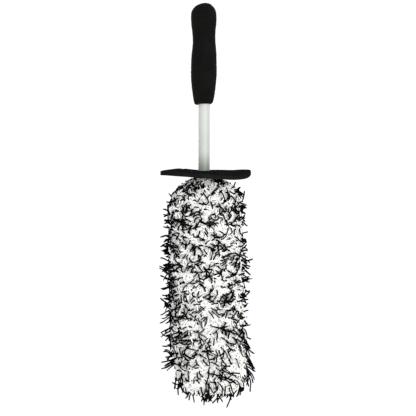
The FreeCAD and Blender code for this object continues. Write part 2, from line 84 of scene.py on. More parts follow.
# Name, place, size, power in watts and colour.
LIGHTS = [
    ("key", (800, -1450, -150), 900, 16, (1.0, 0.995, 0.92)),
    ("fill", (-300, -1700, -200), 1000, 7, (0.955, 0.975, 1.0)),
    ("back", (-500, 1600, 100), 1200, 14, (1.0, 1.0, 1.0)),
]
FLOOR_DROP = 1800.0
FLOOR_SIZE = 60000.0


def make_camera():
    """Level camera in front of the brush, aimed at the middle of its length."""
    data = bpy.data.cameras.new("camera")
    data.lens = LENS
    data.sensor_width = SENSOR
    camera = bpy.data.objects.new("camera", data)
    bpy.context.scene.collection.objects.link(camera)
    distance = VIEW_HEIGHT * LENS / SENSOR
    camera.location = Vector((AIM[0], -distance, AIM[1])) * MM
    camera.rotation_euler = (math.pi / 2, 0, 0)
    bpy.context.scene.camera = camera


def make_area_light(name, place, size, power, colour):
    """A square soft light that faces the middle of the brush."""
    data = bpy.data.lights.new(name, "AREA")
    data.size = size * MM
    data.energy = power
    data.color = colour
    light = bpy.data.objects.new(name, data)
    bpy.context.scene.collection.objects.link(light)
    light.location = Vector(place) * MM
    aim = Vector(LIGHT_TARGET) - Vector(place)
    light.rotation_euler = aim.to_track_quat("-Z", "Y").to_euler()


def make_studio():
    """Even white surroundings, a large key from the right, a weak fill and a light from behind."""
    world = bpy.data.worlds.new("studio")
    bpy.context.scene.world = world
    world.use_nodes = True
    background = world.node_tree.nodes["Background"]
    background.inputs["Color"].default_value = WORLD_COLOUR
    background.inputs["Strength"].default_value = WORLD_STRENGTH
    for light in LIGHTS:
        make_area_light(*light)
    bpy.context.scene.view_settings.view_transform = "Standard"
    floor_height = low("pile_tip", 2) - FLOOR_DROP
    bpy.ops.mesh.primitive_plane_add(size=FLOOR_SIZE * MM, location=(0, 0, floor_height * MM))
    floor = bpy.context.active_object
    floor.name = "floor"
    floor.data.materials.append(new_material("floor_paint", (0.97, 0.965, 0.96), 0.9))


# ---------------------------------------------------------------- materials

# Length in metres of one wave of Blender's wave texture at scale 1.
WAVE_LENGTH = math.tau / 20
# The fibre grain of yarn: noise scale per metre, and depth.
FIBRE_SCALE = 2500.0
FIBRE_DEPTH = 0.12


def new_material(name, colour, roughness, specular=0.5, sheen=0.0):
    material = bpy.data.materials.new(name)
    material.use_nodes = True
    shader = shader_of(material)
    shader.inputs["Base Color"].default_value = (*colour, 1.0)
    shader.inputs["Roughness"].default_value = roughness
    shader.inputs["Specular IOR Level"].default_value = specular
    shader.inputs["Sheen Weight"].default_value = sheen
    return material


def shader_of(material):
    return material.node_tree.nodes["Principled BSDF"]


def add_node(material, kind, **inputs):
    """A new shader node; keywords with underscores for spaces set its input sockets."""
    node = material.node_tree.nodes.new(kind)
    for name, value in inputs.items():
        node.inputs[name.replace("_", " ")].default_value = value
    return node


def link(material, start, end):
    material.node_tree.links.new(start, end)


def feed(material, name, socket):
    """Feeds an input of the surface shader from another node's output."""
    link(material, socket, shader_of(material).inputs[name])


def add_mapped(material, kind, **inputs):
    """A new texture node that is laid on the object's own coordinates."""
    texture = add_node(material, kind, **inputs)
    coordinates = add_node(material, "ShaderNodeTexCoord").outputs["Object"]
    link(material, coordinates, texture.inputs["Vector"])
    return texture


def add_ramp(material, factor, first, last, start=0.0, end=1.0):
    """A ramp from the first colour to the last, as a factor socket goes from start to end."""
    ramp = add_node(material, "ShaderNodeValToRGB")
    near, far = ramp.color_ramp.elements
    near.position = start
    far.position = end
    near.color = (*first, 1.0)
    far.color = (*last, 1.0)
    link(material, factor, ramp.inputs["Fac"])
    return ramp


def vary_colour(material, dark, light, scale):
    """Mottles the base colour between two tones with noise of the given scale per metre."""
    noise = add_mapped(material, "ShaderNodeTexNoise", Scale=scale, Detail=4.0, Roughness=0.6)
    ramp = add_ramp(material, noise.outputs["Fac"], dark, light, 0.3, 0.7)
    feed(material, "Base Color", ramp.outputs["Color"])
    return noise


def vary_roughness(material, noise, least, most):
    span = add_node(material, "ShaderNodeMapRange", To_Min=least, To_Max=most)
    link(material, noise.outputs["Fac"], span.inputs["Value"])
    feed(material, "Roughness", span.outputs["Result"])


def add_bump(material, height, depth_mm):
    bump = add_node(material, "ShaderNodeBump", Strength=1.0, Distance=depth_mm * MM)
    link(material, height, bump.inputs["Height"])
    feed(material, "Normal", bump.outputs["Normal"])


def foam_material(name, dark, light, cell_mm, depth_mm, specular=0.05):
    """Closed-cell foam: fine pores over slow mottling."""
    material = new_material(name, light, 0.85, specular)
    noise = vary_colour(material, dark, light, 60.0)
    vary_roughness(material, noise, 0.75, 0.95)
    pores = add_mapped(material, "ShaderNodeTexVoronoi", Scale=1000.0 / cell_mm)
    add_bump(material, pores.outputs["Distance"], depth_mm)
    return material


def plastic_material(name, dark, light, roughness):
    """Moulded plastic: faint clouding and a very fine satin grain."""
    grain_mm = 0.5
    depth_mm = 0.02
    material = new_material(name, light, roughness, 0.4)
    noise = vary_colour(material, dark, light, 25.0)
    vary_roughness(material, noise, roughness - 0.07, roughness + 0.07)
    grain = add_mapped(material, "ShaderNodeTexNoise", Scale=1000.0 / grain_mm, Detail=3.0)
    add_bump(material, grain.outputs["Fac"], depth_mm)
    return material


def metal_material(name, dark, light, roughness):
    """Bright steel with fine mottling."""
    material = new_material(name, light, roughness)
    shader_of(material).inputs["Metallic"].default_value = 1.0
    noise = vary_colour(material, dark, light, 400.0)
    vary_roughness(material, noise, roughness - 0.1, roughness + 0.1)
    return material


def paint_shade_near(material, height_mm, reach_mm, shade_colour):
    """Painted shade: greys and greens the base colour towards a height, over a reach above it, for the
    shade the guard casts just above itself.
    """
    base_colour = shader_of(material).inputs["Base Color"]
    colour = base_colour.links[0].from_socket
    split = add_mapped(material, "ShaderNodeSeparateXYZ")
    share = add_node(material, "ShaderNodeMapRange", From_Min=height_mm * MM,
                     From_Max=(height_mm + reach_mm) * MM)
    link(material, split.outputs["Z"], share.inputs["Value"])
    ramp = add_ramp(material, share.outputs["Result"], shade_colour, (1.0, 1.0, 1.0))
    ramp.color_ramp.interpolation = "EASE"
    product = add_node(material, "ShaderNodeVectorMath")
    product.operation = "MULTIPLY"
    link(material, colour, product.inputs[0])
    link(material, ramp.outputs["Color"], product.inputs[1])
    link(material, product.outputs["Vector"], base_colour)


def woven_material(name, dark, light, thread_mm, depth_mm):
    """Knitted or woven cloth: crossing threads as bump and a matching shade."""
    material = new_material(name, light, 0.9, specular=0.15, sheen=0.2)
    weave = add_node(material, "ShaderNodeMath")
    weave.operation = "MULTIPLY"
    for place, direction in enumerate(("X", "Z")):
        wave = add_mapped(material, "ShaderNodeTexWave", Scale=WAVE_LENGTH / (thread_mm * MM),
                          Distortion=0.4)
        wave.bands_direction = direction
        link(material, wave.outputs["Fac"], weave.inputs[place])
    ramp = add_ramp(material, weave.outputs[0], dark, light)
    feed(material, "Base Color", ramp.outputs["Color"])
    add_bump(material, weave.outputs[0], depth_mm)
    return material


def yarn_material(name, dark, light, sheen, specular):
    """Microfibre yarn with a fine grain; the meshes hold a tone for each strand, which painted shade
    lowers at its root.
    """
    material = new_material(name, light, 0.85, specular, sheen)
    tone = add_node(material, "ShaderNodeAttribute")
    tone.attribute_name = "tone"
    ramp = add_ramp(material, tone.outputs["Fac"], dark, light)
    feed(material, "Base Color", ramp.outputs["Color"])
    fibres = add_mapped(material, "ShaderNodeTexNoise", Scale=FIBRE_SCALE, Detail=2.0)
    add_bump(material, fibres.outputs["Fac"], FIBRE_DEPTH)
    return material


# ---------------------------------------------------------------- mesh helpers

def new_piece(name, verts_mm, polygon_sets, material, body, replaced, slot, tones=None):
    """A smooth mesh piece from vertices in millimetres and arrays of equal-sided polygons."""
    mesh = bpy.data.meshes.new(name)
    mesh.vertices.add(len(verts_mm))
    mesh.vertices.foreach_set("co", (np.asarray(verts_mm) * MM).astype(np.float32).ravel())
    corners = np.concatenate([p.ravel() for p in polygon_sets]).astype(np.int32)
    counts = np.concatenate([np.full(len(p), p.shape[1]) for p in polygon_sets])
    starts = np.concatenate([[0], np.cumsum(counts)[:-1]]).astype(np.int32)
    mesh.loops.add(len(corners))
    mesh.loops.foreach_set("vertex_index", corners)
    mesh.polygons.add(len(counts))
    mesh.polygons.foreach_set("loop_start", starts)
    mesh.update(calc_edges=True)
    mesh.validate()
    mesh.shade_smooth()
    if tones is not None:
        tone = mesh.attributes.new("tone", "FLOAT", "POINT")
        tone.data.foreach_set("value", np.asarray(tones, np.float32))
    mesh.materials.append(material)
    piece = bpy.data.objects.new(name, mesh)
    bpy.context.scene.collection.objects.link(piece)
    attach(piece, body)
    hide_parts(*replaced)
    return piece


def lattice_faces(rows, columns, closed_rows=False, closed_columns=False):
    """Quads over a rows by columns grid of vertices numbered row by row."""
    index = np.arange(rows * columns).reshape(rows, columns)
    if closed_rows:
        index = np.vstack([index, index[:1]])
    if closed_columns:
        index = np.hstack([index, index[:, :1]])
    corners = index[:-1, :-1], index[:-1, 1:], index[1:, 1:], index[1:, :-1]
    return np.stack(corners, axis=-1).reshape(-1, 4)


def turned_points(outline, segments):
    """Points of an (r, z) outline swept round the Z axis, one row per outline point."""
    angle = np.arange(segments) * math.tau / segments
    outline = np.asarray(outline, float)
    x = outline[:, :1] * np.cos(angle)
    y = outline[:, :1] * np.sin(angle)
    z = np.repeat(outline[:, 1:], segments, axis=1)
    return np.stack([x, y, z], axis=-1)


def resample(line, step):
    """The same line through 2-D points, with points at most a step apart."""
    out = []
    for a, b in zip(line[:-1], line[1:], strict=True):
        a, b = np.asarray(a, float), np.asarray(b, float)
        count = max(1, math.ceil(np.linalg.norm(b - a) / step))
        out += [a + (b - a) * i / count for i in range(count)]
    out.append(np.asarray(line[-1], float))
    return np.array(out)


def unit(vectors):
    return vectors / np.maximum(np.linalg.norm(vectors, axis=-1, keepdims=True), 1e-9)


def ellipse_reach(cosine, sine, half_width, half_depth, squareness):
    """Reach of a superellipse in the direction with that cosine and sine."""
    across = np.abs(cosine / half_width) ** squareness
    deep = np.abs(sine / half_depth) ** squareness
    return (across + deep) ** (-1 / squareness)


def tube_geometry(lines, radii, sides):
    """Closed tubes along (n, m, 3) lines with (n, m) radii: vertices and polygon sets."""
    count, steps, _ = lines.shape
    tangents = unit(np.gradient(lines, axis=1))
    upright = np.abs(tangents[:, 0, 2:]) >= 0.8
    helper = np.where(upright, [[1.0, 0.0, 0.0]], [[0.0, 0.0, 1.0]])
    across = unit(np.cross(tangents[:, 0], helper))
    angle = np.arange(sides) * math.tau / sides
    rings = np.empty((count, steps, sides, 3))
    for i in range(steps):
        tangent = tangents[:, i]
        across = unit(across - tangent * np.sum(across * tangent, axis=1, keepdims=True))
        other = np.cross(tangent, across)
        ring = across[:, None] * np.cos(angle)[:, None] + other[:, None] * np.sin(angle)[:, None]
        rings[:, i] = lines[:, i, None] + ring * radii[:, i, None, None]
    index = np.arange(count * steps * sides).reshape(count, steps, sides)
    turned = np.roll(index, -1, axis=2)
    walls = np.stack([index[:, :-1], turned[:, :-1], turned[:, 1:], index[:, 1:]], axis=-1)
    return rings.reshape(-1, 3), [walls.reshape(-1, 4), index[:, 0, ::-1], index[:, -1]]


def smooth_field(seed, scale_mm):
    """A smooth random vector field: waves about scale_mm long in random directions."""
    waves_added = 18
    rng = np.random.default_rng(seed)
    waves = unit(rng.normal(size=(waves_added, 3))) * math.tau / scale_mm
    waves = waves * rng.uniform(0.6, 1.4, (waves_added, 1))
    phases = rng.uniform(0, math.tau, (waves_added, 3))
    strength = rng.normal(size=(waves_added, 3)) / math.sqrt(waves_added / 2)

    def field(points):
        turn = points @ waves.T
        return np.sum(np.sin(turn[..., None] + phases) * strength, axis=-2)

    return field


# ---------------------------------------------------------------- the head's shape

HALF_WIDTH = 38.5
HALF_DEPTH = 28.5
SQUARENESS = 2.3
HEAD_TOP = high("pile_front", 2) - 1.0
HEAD_END = low("pile_front", 2) + 7.0
# Half-width at the neck, and the lengths over which the head widens to full and rounds to its tip.
NECK_REACH = 9.0
SHOULDER = 30.0
TIP = 19.0
# Share by which the head is wider at its end than at its top.
SPREAD = 0.05
# Lean to the right: at the top, gained over the length, and gained only near the tip.
LEAN_TOP = 1.0
LEAN_LENGTH = 4.3
LEAN_TIP = 3.0
# The left shoulder hangs lower, down to this share of the way to the tip.
LEFT_DROOP = 5.0
DROOP_END = 0.28
# The left side is drawn in by this share of its reach over the last of the length.
LEFT_CUT = 0.12
CUT_START, CUT_FULL = 0.76, 0.94
# A strand near the neck or tip turns about the axis as if the way round were at least this long.
LEAST_ROUND = 5.0


def make_profile():
    """The head's outline from neck to tip: width shares and heights by the share of its length."""
    turn = np.linspace(0, math.pi / 2, 30)
    reach = NECK_REACH / HALF_WIDTH
    shoulder = np.stack([reach + (1 - reach) * np.sin(turn),
                         HEAD_TOP - SHOULDER * (1 - np.cos(turn))], axis=1)
    tip = np.stack([np.cos(turn) ** 0.9, HEAD_END + TIP * (1 - np.sin(turn))], axis=1)
    points = np.vstack([shoulder, tip])
    steps = np.diff(points, axis=0) * [(HALF_WIDTH + HALF_DEPTH) / 2, 1.0]
    along = np.concatenate([[0], np.cumsum(np.linalg.norm(steps, axis=1))])
    return along / along[-1], points[:, 0], points[:, 1]


PROFILE = make_profile()


def surface_point(theta, t):
    """Point on the pile's surface."""
    along, shares, heights = PROFILE
    share = np.interp(t, along, shares)
    z = np.interp(t, along, heights)
    cosine, sine = np.cos(theta), np.sin(theta)
    left = np.clip(-cosine, 0, 1)
    z = z - LEFT_DROOP * left * np.sin(math.pi * fade(t, 0, DROOP_END))
    down = (HEAD_TOP - z) / (HEAD_TOP - HEAD_END)
    reach = ellipse_reach(cosine, sine, HALF_WIDTH, HALF_DEPTH, SQUARENESS)
    reach = reach * share * (1 + SPREAD * down)
    reach = reach * (1 - LEFT_CUT * left * fade(down, CUT_START, CUT_FULL))
    lean = (LEAN_TOP + LEAN_LENGTH * down + LEAN_TIP * down ** 6) * np.minimum(1, share * 1.5)
    return np.stack([lean + reach * cosine, reach * sine, z], axis=-1)


def surface_frame(theta, t):
    """Point, steps round and down the surface for a unit of theta and t, and outward normal."""
    step = 1e-3
    t = np.clip(t, 2 * step, 1 - 2 * step)
    point = surface_point(theta, t)
    around = (surface_point(theta + step, t) - surface_point(theta - step, t)) / (2 * step)
    down = (surface_point(theta, t + step) - surface_point(theta, t - step)) / (2 * step)
    return point, around, down, unit(np.cross(down, around))


def around_length(around):
    """Distance round the head for a unit of theta, held up where the head closes in."""
    return np.maximum(np.linalg.norm(around, axis=1), LEAST_ROUND)


class Scatter:
    """Random points on the pile's surface, spread by its area times a weight."""

    COLUMNS = 240
    ROWS = 300

    def __init__(self, rng, weight=None):
        self.rng = rng
        theta = (np.arange(self.COLUMNS) + 0.5) * math.tau / self.COLUMNS
        t = (np.arange(self.ROWS) + 0.5) / self.ROWS
        self.theta, self.t = np.meshgrid(theta, t)
        _, around, down, _ = surface_frame(self.theta, self.t)
        area = np.linalg.norm(np.cross(around, down), axis=-1)
        if weight is not None:
            area = area * weight(self.theta, self.t)
        self.odds = (area / area.sum()).ravel()

    def points(self, count):
        cells = self.rng.choice(self.odds.size, count, p=self.odds)
        theta = self.theta.ravel()[cells]
        theta = theta + (self.rng.random(count) - 0.5) * math.tau / self.COLUMNS
        t = self.t.ravel()[cells] + (self.rng.random(count) - 0.5) / self.ROWS
        return theta, np.clip(t, 0, 1)

    def spaced_points(self, count, tries):
        """Points that keep apart: each is the farthest of a few tries from those before it."""
        theta, t = self.points(count * tries)
        place = surface_point(theta, t).reshape(count, tries, 3)
        chosen = np.zeros(count, int)
        for i in range(1, count):
            kept = place[np.arange(i), chosen[:i]]
            gap = np.linalg.norm(place[i][:, None] - kept[None], axis=2).min(axis=1)
            chosen[i] = gap.argmax()
        picked = np.arange(count) * tries + chosen
        return theta[picked], t[picked]


# ---------------------------------------------------------------- pile

# Clumps of white yarn, how deep the furrows between them are, and how wide.
CLUMPS = 520
CLUMP_TRIES = 10
FURROW_DEPTH = 3.4
FURROW_WIDTH = 2.5

STRAND_SIDES = 4
WHITE_STRANDS = 7600
WHITE_STEPS = 7
WHITE_RADII = (0.62, 0.85)
WHITE_LENGTHS = (9, 15)

BLACK_ROWS = 900
ROW_TRIES = 20
ROW_PITCH = 2.9
# Chance of each number of strands in a black row.
ROW_SIZES = {1: 0.36, 2: 0.34, 3: 0.2, 4: 0.1}
BLACK_STEPS = 11
BLACK_RADII = (0.74, 0.90)
BLACK_LENGTHS = (11.5, 18)
# Depth of a black strand's root, and the length that stands before it bends over.
BLACK_ROOT = 4.5
BLACK_STAND = 7.2
# Angle in degrees round the head, share of the way from neck to tip, and rows of strands.
DARK_TUFTS = [(-42, 0.045, 9), (-125, 0.075, 7)]

# Neck strands: seed, number, and the middle and half-width in degrees of the arc they stand on.
WHITE_NECK = [(22, 260, 0, 180)]
BLACK_NECK = [(23, 64, 0, 180), (24, 34, -28, 24)]

# Heading of a strand that runs down the head; 0 runs round it.
DOWN = math.pi / 2


def nearest_two(points, centres):
    """Index of the nearest centre, and the distances to the nearest and the second nearest."""
    best = np.empty(len(points), int)
    first = np.empty(len(points))
    second = np.empty(len(points))
    batch = 4000
    for start in range(0, len(points), batch):
        part = slice(start, start + batch)
        distance = np.linalg.norm(points[part, None] - centres[None], axis=2)
        order = np.argpartition(distance, 1, axis=1)[:, :2]
        pair = np.take_along_axis(distance, order, axis=1)
        flip = pair[:, 0] > pair[:, 1]
        best[part] = np.where(flip, order[:, 1], order[:, 0])
        first[part] = pair.min(axis=1)
        second[part] = pair.max(axis=1)
    return best, first, second


def furrow_height(first, second):
    """Height of the clumped surface: near 0 on a clump and lowest between two clumps."""
    return -FURROW_DEPTH * np.exp(-(second - first) / FURROW_WIDTH)


def cavity_points(theta):
    """Inside of the root layer: rows of points from the hem down and round the padded core."""
    rows = 40
    corner_height = 12.0
    heights = np.linspace(HEAD_TOP, low("cover_gusset", 2) + 0.2, rows)
    neck = high("hem_band", 0) + 0.1
    side = high("cover_collar", 0) * 1.02 + 1.2
    face = side * high("cover_panel_back", 1) / high("cover_collar", 0) + 0.8
    opening = fade(HEAD_TOP - heights, 0, HEAD_TOP - high("cover_gusset", 2))
    half_width = neck + (side - neck) * opening
    half_depth = neck + (face - neck) * opening
    corner = fade(heights, heights[-1], heights[-1] + corner_height)
    half_width = half_width * (0.55 + 0.45 * np.sqrt(1 - (1 - corner) ** 2))
    reach = ellipse_reach(np.cos(theta), np.sin(theta), half_width[:, None], half_depth[:, None], 5)
    z = np.repeat(heights[:, None], len(theta), axis=1)
    return np.stack([reach * np.cos(theta), reach * np.sin(theta), z], axis=-1)


def make_underpile(clumps, material):
    """The dense root layer of the pile: a lumpy shell with an open mouth round the core."""
    columns, rows = 216, 260
    roughness = 0.4
    depth = 0.8
    theta = np.arange(columns) * math.tau / columns
    grid_theta, grid_t = np.meshgrid(theta, np.linspace(0, 0.996, rows))
    grid_theta, grid_t = grid_theta.ravel(), grid_t.ravel()
    points, _, _, normals = surface_frame(grid_theta, grid_t)
    _, first, second = nearest_two(points, clumps)
    rough = roughness * smooth_field(5, 3.0)(points)[:, 0]
    lift = (furrow_height(first, second) - depth + rough) * fade(grid_t, 0, 0.05)
    outside = points + normals * lift[:, None]
    inside = cavity_points(theta)[::-1].reshape(-1, 3)
    verts = np.vstack([inside, outside])
    total_rows = len(verts) // columns
    faces = lattice_faces(total_rows, columns, closed_columns=True)
    index = np.arange(len(verts)).reshape(total_rows, columns)
    ends = [index[0][None, :], index[-1][None, ::-1]]
    new_piece("underpile", verts, [faces[:, ::-1], *ends], material, "cover",
              ["pile_front", "pile_back", "pile_left", "pile_right", "pile_tip"], "pile_yarn",
              np.full(len(verts), 0.6))


def grow(theta, t, base, heading, slope, lengths, bend_at, steps):
    """Strand lines grown from below the surface.

    base is the root's height over the surface, heading the (n, steps) direction along it, and
    slope the pair of angles from the normal before and after the bend, which is at bend_at of
    the length.
    """
    bend_share = 0.25
    theta, t, height = theta.copy(), t.copy(), base.copy()
    line = np.empty((len(theta), steps, 3))
    pace = lengths / (steps - 1)
    for i in range(steps):
        point, around, down, normal = surface_frame(theta, t)
        line[:, i] = point + normal * height[:, None]
        share = (i + 0.5) / (steps - 1)
        turn = np.clip((share - bend_at) / bend_share + 0.5, 0, 1)
        turn = turn * turn * (3 - 2 * turn)
        angle = slope[0] * (1 - turn) + slope[1] * turn
        height += np.cos(angle) * pace
        flat = np.sin(angle) * pace
        theta += flat * np.cos(heading[:, i]) / around_length(around)
        t += flat * np.sin(heading[:, i]) / np.linalg.norm(down, axis=1)
        t = np.clip(t, 0.0, 1.0)
    return line


def keep_below_guard(lines):
    """Strands that would reach the guard lie flat against its underside."""
    gap = 1.0
    rim = high("splash_guard", 0) + 3
    limit = guard_surface(lines[..., 0], lines[..., 1], low("splash_guard", 2)) - gap
    under = np.hypot(lines[..., 0], lines[..., 1]) < rim
    lines[..., 2] = np.where(under, np.minimum(lines[..., 2], limit), lines[..., 2])
    return lines


def region_of(roots):
    """The CAD pile solid that each root belongs to."""
    depth = high("cover_panel_back", 1)
    middle = (low("pile_left", 0) + high("pile_right", 0)) / 2
    names = np.where(roots[:, 0] < middle, "left", "right").astype(object)
    names[roots[:, 2] < high("pile_tip", 2)] = "tip"
    names[roots[:, 1] < -depth] = "front"
    names[roots[:, 1] > depth] = "back"
    return names


def pile_pieces(colour, lines, radii, tones, material):
    """One piece of strands for each of the cover's regions; a strand's tone is lowered at its root as
    painted shade and raised a little at its tip as painted light.
    """
    lines = keep_below_guard(lines)
    regions = region_of(lines[:, 0])
    # Painted shade deep in the pile at each strand's root, and a little painted light at its tip.
    painted_root_shade = np.linspace(-0.25, 0.1, lines.shape[1])
    for region in ("front", "back", "left", "right", "tip"):
        chosen = regions == region
        verts, polygons = tube_geometry(lines[chosen], radii[chosen], STRAND_SIDES)
        tone = np.clip(tones[chosen, None] + painted_root_shade, 0, 1)
        tone = np.repeat(tone.ravel(), STRAND_SIDES)
        new_piece(f"{colour}_pile_{region}", verts, polygons, material, "cover",
                  [f"pile_{region}"], "pile_yarn", tone)


def thickness(rng, count, steps, span):
    """Strand radii: even along the strand but for slight lumps, and drawn in at both ends."""
    ends = np.interp(np.linspace(0, 1, steps), [0, 0.12, 0.9, 1], [0.8, 1.0, 1.0, 0.7])
    lumps = 1 + 0.08 * rng.normal(size=(count, steps))
    return rng.uniform(*span, (count, 1)) * ends * lumps


def wander(rng, count, steps, amount):
    """Drift of each strand's heading along its length."""
    return np.cumsum(rng.normal(size=(count, steps)) * amount, axis=1)


def neck_strands(seed, count, middle, half_arc, steps):
    """Short strands that cover the root layer where it closes in to the hem."""
    rng = np.random.default_rng(seed)
    theta = np.radians(middle + half_arc * rng.uniform(-1, 1, count))
    t = 0.005 + 0.065 * rng.random(count)
    heading = DOWN + rng.normal(size=(count, 1)) * 0.8
    heading = heading + wander(rng, count, steps, 0.2)
    slope = rng.uniform(0.1, 0.5, count), rng.uniform(1.35, 1.75, count)
    lengths = rng.uniform(6.5, 10, count)
    root = np.full(count, -1.8)
    return grow(theta, t, root, heading, slope, lengths, np.full(count, 0.3), steps)


def make_white_pile(clumps, material):
    """Dense white yarn in clumps; a clump's strands fan out from its middle and curl over."""
    rng = np.random.default_rng(21)
    count, steps = WHITE_STRANDS, WHITE_STEPS
    theta, t = Scatter(rng).points(count)
    point, around, down, _ = surface_frame(theta, t)
    clump, first, second = nearest_two(point, clumps)
    away = point - clumps[clump]
    fan = np.arctan2(np.sum(away * unit(down), axis=1), np.sum(away * unit(around), axis=1))
    swirl = rng.uniform(-0.9, 0.9, len(clumps))[clump]
    drift = wander(rng, count, steps, 0.25)
    stray = rng.normal(size=(count, 1)) * 0.5
    heading = fan[:, None] + stray + swirl[:, None] * 1.2 + drift
    lengths = rng.uniform(*WHITE_LENGTHS, count) * np.maximum(fade(t, 0, 0.08), 0.45)
    slope = rng.uniform(0.1, 0.6, count), rng.uniform(1.45, 1.95, count)
    base = furrow_height(first, second) - 3.5 - 1.5 * (1 - fade(t, 0, 0.05))
    lines = grow(theta, t, base, heading, slope, lengths, rng.uniform(0.3, 0.5, count), steps)
    lines = np.concatenate([lines, *(neck_strands(*arc, steps) for arc in WHITE_NECK)])
    radii = thickness(rng, len(lines), steps, WHITE_RADII)
    tones = 0.15 + 0.85 * np.sqrt(rng.random(len(lines)))
    pile_pieces("white", lines, radii, tones, material)


def black_weight(theta, t):
    """How thickly black rows are sown: thickest on the left, thin at the neck and on the tip."""
    side = np.cos(theta)
    sides = 1 + 2.8 * np.clip(-side, 0, 1) ** 3 - 0.35 * np.clip(side, 0, 1) ** 2
    neck = np.maximum(fade(t, 0.03, 0.18), 0.1)
    return sides * neck * (1 - 0.93 * fade(t, 0.80, 0.90))


def sow_black_rows(rng):
    """Where the rows of black strands stand, with extra rows in the dark tufts."""
    theta, t = Scatter(rng, black_weight).spaced_points(BLACK_ROWS, ROW_TRIES)
    for tuft_theta, tuft_t, rows in DARK_TUFTS:
        theta = np.append(theta, np.radians(tuft_theta + rng.normal(size=rows) * 9))
        t = np.append(t, np.clip(tuft_t + rng.normal(size=rows) * 0.012, 0.01, 1))
    return theta, t


def comb_black_rows(rng, theta, t):
    """Each row's heading at the root, its curl, its slopes before and after the bend, its length.

    Rows lie any way, but more of them fall towards the tip, those high on the left rise, and those
    low on the front and right trail down and to the right.
    """
    rows = len(theta)
    beside = np.cos(theta)
    heading = rng.uniform(0, math.tau, rows)
    falling = rng.random(rows) < 0.15 + 0.35 * fade(t, 0.45, 0.85)
    heading = np.where(falling, DOWN + rng.normal(size=rows) * 0.6, heading)
    rising = (beside < -0.3) & (t > 0.13) & (t < 0.36) & (rng.random(rows) < 0.6)
    heading = np.where(rising, -DOWN + rng.normal(size=rows) * 0.6, heading)
    trailing = (beside > -0.25) & (t > 0.62) & (rng.random(rows) < 0.55)
    to_right = 0.7 * np.clip(-np.sin(theta), 0, 1)
    heading = np.where(trailing, DOWN - to_right + rng.normal(size=rows) * 0.3, heading)
    curl = rng.normal(size=rows) * np.where(trailing, 0.3, 1.8)
    stands = rng.random(rows) < (0.1 + 0.45 * beside ** 2) * np.maximum(fade(t, 0, 0.15), 0.3)
    slope_end = np.where(stands, rng.uniform(0.35, 1.1, rows), rng.uniform(1.3, 1.62, rows))
    slope_end = np.where(trailing, rng.uniform(0.95, 1.4, rows), slope_end)
    hanging = rng.uniform(0.4, 1.0, rows)
    slope_end = slope_end + (hanging - slope_end) * fade(t, 0.80, 0.90)
    slope_start = rng.uniform(0.1, 0.5, rows)
    lengths = rng.uniform(*BLACK_LENGTHS, rows) * np.where(trailing, 1.25, 1.0)
    standing_left = stands & (beside < -0.5)
    lengths = lengths * np.where(standing_left, 1 + 0.3 * fade(t, 0.28, 0.40), 1.0)
    return heading, curl, slope_start, slope_end, lengths


def keeping_odds(theta, t):
    """Chance that a black strand is kept: low down, both sides are thinned out."""
    beside = np.cos(theta)
    low_down = t > 0.6
    right, left = low_down & (beside > 0.82), low_down & (beside < -0.6)
    return np.select([right, left], [0.6, 0.82], 1.0)


def make_black_pile(material):
    """Black yarn in rows of near-parallel strands that lie over or stand out of the white."""
    rng = np.random.default_rng(111)
    theta, t = sow_black_rows(rng)
    heading, curl, slope_start, slope_end, long = comb_black_rows(rng, theta, t)
    members = rng.choice(list(ROW_SIZES), len(theta), p=list(ROW_SIZES.values()))
    row = np.repeat(np.arange(len(theta)), members)
    count, steps = len(row), BLACK_STEPS
    place = np.arange(count) - np.repeat(np.cumsum(members) - members, members)
    beyond = (place - (members[row] - 1) / 2) * ROW_PITCH + rng.normal(size=count) * 0.5
    ahead = rng.normal(size=count) * 1.8
    first = heading[row]
    _, around, down, _ = surface_frame(theta[row], t[row])
    shift_around = beyond * -np.sin(first) + ahead * np.cos(first)
    shift_down = beyond * np.cos(first) + ahead * np.sin(first)
    root_theta = theta[row] + shift_around / around_length(around)
    root_t = np.clip(t[row] + shift_down / np.linalg.norm(down, axis=1), 0, 1)
    drift = wander(rng, count, steps, 0.2)
    stray = rng.normal(size=(count, 1)) * 0.16
    turn = curl[row, None] * np.linspace(0, 1, steps) ** 1.5
    headings = first[:, None] + stray + turn + drift
    lengths = long[row] * rng.uniform(0.8, 1.15, count) * np.maximum(fade(root_t, 0, 0.10), 0.55)
    slope = slope_start[row], slope_end[row] + rng.normal(size=count) * 0.08
    lines = grow(root_theta, root_t, np.full(count, -BLACK_ROOT), headings, slope, lengths,
                 BLACK_STAND / lengths, steps)
    lines = np.concatenate([lines, *(neck_strands(*arc, steps) for arc in BLACK_NECK)])
    radii = thickness(rng, len(lines), steps, BLACK_RADII)
    tones = rng.uniform(0.2, 1.0, len(lines))
    odds = np.append(keeping_odds(theta[row], t[row]), np.ones(len(lines) - count))
    kept = rng.random(len(lines)) < odds
    pile_pieces("black", lines[kept], radii[kept], tones[kept], material)


# ---------------------------------------------------------------- guard and grip

GUARD_SEGMENTS = 200
GRIP_SEGMENTS = 128
GRIP_LIP = 2.4
GRIP_GAP = 0.25


def guard_surface(x, y, z):
    """Height of a level of the guard once it sags: it droops in front and to the right."""
    outer = high("splash_guard", 0)
    left_wave = 0.064 * np.exp(-((x + 30) / 17) ** 2)
    right_wave = 0.065 * fade(x, 32, 52) ** 1.5
    back_slope = 0.049 + 0.01 * fade(x, 0, 10) + left_wave + right_wave
    front_slope = 0.045 + 0.128 * fade(x, -outer, outer) ** 1.2
    in_front = 0.5 - 0.5 * np.tanh(y / 12)
    held = high("guard_stop", 0)
    free = fade(np.hypot(x, y), held, held + 14)
    upturned = fade(x, 44, 52) ** 2
    corner = 0.9 * in_front * fade(x, 18, 34)
    slope = back_slope + (front_slope - back_slope) * in_front
    return z + free * y * slope + upturned - corner


